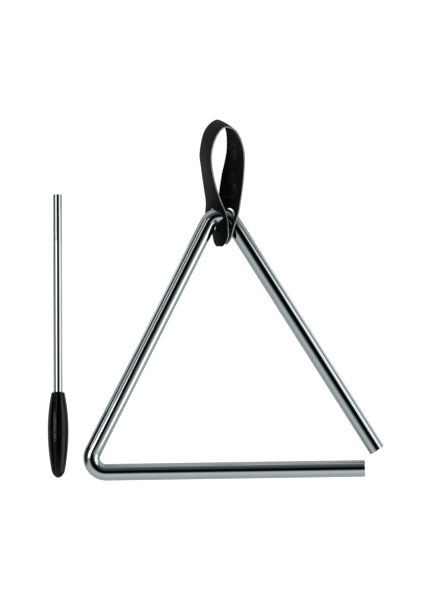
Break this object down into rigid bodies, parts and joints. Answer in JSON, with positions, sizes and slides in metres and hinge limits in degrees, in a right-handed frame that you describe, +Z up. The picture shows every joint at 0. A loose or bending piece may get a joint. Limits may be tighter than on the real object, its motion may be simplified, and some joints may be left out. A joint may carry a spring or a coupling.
{
  "type": "triangle (percussion instrument)",
  "caption": "Orchestral triangle of bent chromed rod with one open corner, a leather finger strap through its top bend, and a slim rod beater with a black moulded grip.",
  "frame": {"origin": "on the table, under the middle of the set's bounding box", "axes": "+Z up from the table, +X along the base of the triangle towards its open corner, +Y from the base towards the strap's loop"},
  "size_m": [0.1991, 0.2134, 0.019],
  "materials": {
    "bar_chrome": "polished",
    "strap_leather": "smooth outside, rough inside, raw grey cut edges",
    "rod_chrome": "polished",
    "grip_plastic": "gloss"
  },
  "bodies": {
    "triangle": {"triangle_bar": "bar_chrome"},
    "strap": {"strap": "strap_leather"},
    "beater": {"beater_rod": "rod_chrome", "beater_grip": "grip_plastic"}
  },
  "joints": [
    {"name": "strap_lean", "type": "hinge", "parent": "triangle", "child": "strap", "pos_m": [0.00462, 0.04056, 0.00834], "axis": [0, -0.0235, 0.9997], "range_deg": [-20, 20]},
    {"name": "beater_lift", "type": "slide", "parent": "triangle", "child": "beater", "axis": [0, 0, 1], "range_m": [0, 0.15]}
  ]
}
